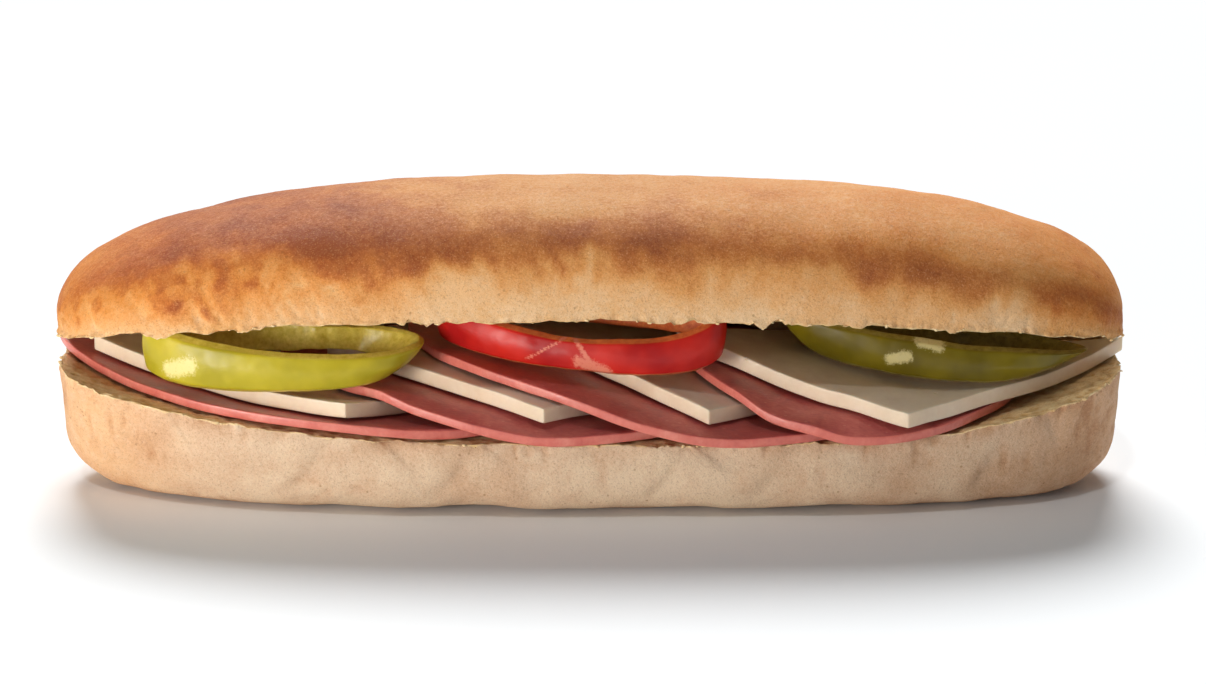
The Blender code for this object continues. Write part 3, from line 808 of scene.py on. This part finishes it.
# Painted highlights on the rings' fronts, pale strokes that stand in for reflections of the light: the
# x and z of a stroke's two ends and its half width, in mm
LEFT_HIGHLIGHTS = [((-92.5, 32.4), (-88.5, 33.6), 2.7)]
RED_HIGHLIGHTS = [
    ((-14, 34.5), (-4, 40.6), 0.42),
    ((-2.5, 34.5), (3.5, 32.4), 1.9),
    ((-4, 40.6), (0, 34.5), 0.7),
]
RIGHT_HIGHLIGHTS = [((66.5, 34.2), (70, 35), 1.8), ((73, 38.6), (77, 37.6), 1.8)]

crust = bread_finish("golden_crust", CROWN_CRUST, CROWN_CRUMB, (0.50, 0.26, 0.09), 0.35, 0.5)
# The heel's pores are lighter than the crown's: painted light on the cut strip that the crown shades
pale_crust = bread_finish("pale_crust", HEEL_CRUST, HEEL_CRUMB, (0.62, 0.36, 0.13), 0.34, 0.55)
ham = ham_finish()
cheese = cheese_finish()
light_green = pepper_finish(
    "light_green_pepper",
    ((0.35, (0.40, 0.33, 0.014)), (0.65, (0.58, 0.47, 0.028))),
    ((0.3, (0.56, 0.42, 0.04)), (0.7, (0.84, 0.68, 0.14))),
    (0.84, 0.74, 0.32),
)
# The right ring's green is darker than the left's: partly the pepper's own colour, partly painted shade
# of the crown over it
dark_and_shaded_green = pepper_finish(
    "dark_and_shaded_green_pepper",
    ((0.35, (0.115, 0.084, 0.002)), (0.65, (0.195, 0.145, 0.004))),
    ((0.3, (0.16, 0.11, 0.012)), (0.7, (0.36, 0.28, 0.06))),
    (0.66, 0.56, 0.26),
)
red = pepper_finish(
    "red_pepper",
    ((0.35, (0.42, 0.008, 0.008)), (0.65, (0.64, 0.022, 0.012))),
    ((0.3, (0.55, 0.10, 0.03)), (0.7, (0.82, 0.25, 0.07))),
    (0.78, 0.26, 0.17),
)

crown_edge = crown(crust)
heel_edge = heel(pale_crust)
loose_crumbs([(crown_edge, 110, -1), (heel_edge, 90, 1)], pale_crust)
for number in range(1, 5):
    slice_piece(f"ham_{number}", ham, "ham", 0.45 * MM, False, 0.16, 40.0 + 9 * number)
    slice_piece(f"cheese_{number}", cheese, "cheese", 0.40 * MM, True, 0.09, 80.0 + 9 * number)
ring_piece("pepper_green_left", light_green, "green_pepper", LEFT_HIGHLIGHTS, 120.0)
ring_piece("pepper_red", red, "red_pepper", RED_HIGHLIGHTS, 130.0)
ring_piece("pepper_green_right", dark_and_shaded_green, "green_pepper", RIGHT_HIGHLIGHTS, 140.0)

# --- Floor, lights and camera -----------------------------------------------------------

LOOK_AT = Vector((0, 0, 31.6 * MM))
CAMERA_DISTANCE = 0.9
CAMERA_ELEVATION = math.radians(15)
SEEN_WIDTH = 0.2741
CAMERA_SHIFT = 0.0108
SUN_COLOUR = (1.0, 0.99, 0.97)


def lamp(name, place, size, watts, colour):
    """A round soft lamp that is turned to the roll."""
    data = bpy.data.lights.new(name, "AREA")
    data.shape = "DISK"
    data.size = size
    data.energy = watts
    data.color = colour
    light = bpy.data.objects.new(name, data)
    light.location = place
    light.rotation_euler = (LOOK_AT - Vector(place)).to_track_quat("-Z", "Y").to_euler()
    bpy.context.scene.collection.objects.link(light)


def floor():
    mesh = bmesh.new()
    bmesh.ops.create_grid(mesh, x_segments=1, y_segments=1, size=4)
    data = bpy.data.meshes.new("floor")
    mesh.to_mesh(data)
    mesh.free()
    f = Finish("pale_floor")
    shade = f.shades(f.grain(0.3, 2.0), (0.3, (0.88, 0.915, 0.95)), (0.7, (0.90, 0.935, 0.97)))
    f.set(Base_Color=shade)
    f.set(Roughness=0.75, Specular_IOR_Level=0.2)
    data.materials.append(f.material)
    ground = bpy.data.objects.new("floor", data)
    bpy.context.scene.collection.objects.link(ground)


def camera():
    data = bpy.data.cameras.new("camera")
    data.sensor_fit = "HORIZONTAL"
    data.angle = 2 * math.atan(SEEN_WIDTH / 2 / CAMERA_DISTANCE)
    data.shift_x = CAMERA_SHIFT
    data.clip_start = 0.01
    towards_eye = Vector((0, -math.cos(CAMERA_ELEVATION), math.sin(CAMERA_ELEVATION)))
    eye = bpy.data.objects.new("camera", data)
    eye.location = LOOK_AT + CAMERA_DISTANCE * towards_eye
    eye.rotation_euler = (math.pi / 2 - CAMERA_ELEVATION, 0, 0)
    bpy.context.scene.collection.objects.link(eye)
    bpy.context.scene.camera = eye


def sun(name, azimuth, elevation, strength, softness):
    """A far lamp; azimuth 0 shines from the front and 90 from the right."""
    data = bpy.data.lights.new(name, "SUN")
    data.energy = strength
    data.angle = math.radians(softness)
    data.color = SUN_COLOUR
    light = bpy.data.objects.new(name, data)
    light.rotation_euler = (math.radians(90 - elevation), 0, math.radians(azimuth))
    bpy.context.scene.collection.objects.link(light)


floor()
camera()
lamp("low_key", (-0.34, -0.36, 0.055), 0.18, 1.65, (1.0, 0.97, 0.91))
sun("high_key", -18, 60, 0.42, 4)
sun("back_light", 184, 47, 3.6, 30)
world = bpy.data.worlds.new("studio")
world.use_nodes = True
world.node_tree.nodes["Background"].inputs["Color"].default_value = (0.97, 0.98, 1.0, 1)
world.node_tree.nodes["Background"].inputs["Strength"].default_value = 0.12
bpy.context.scene.world = world
bpy.context.scene.view_settings.view_transform = "Standard"
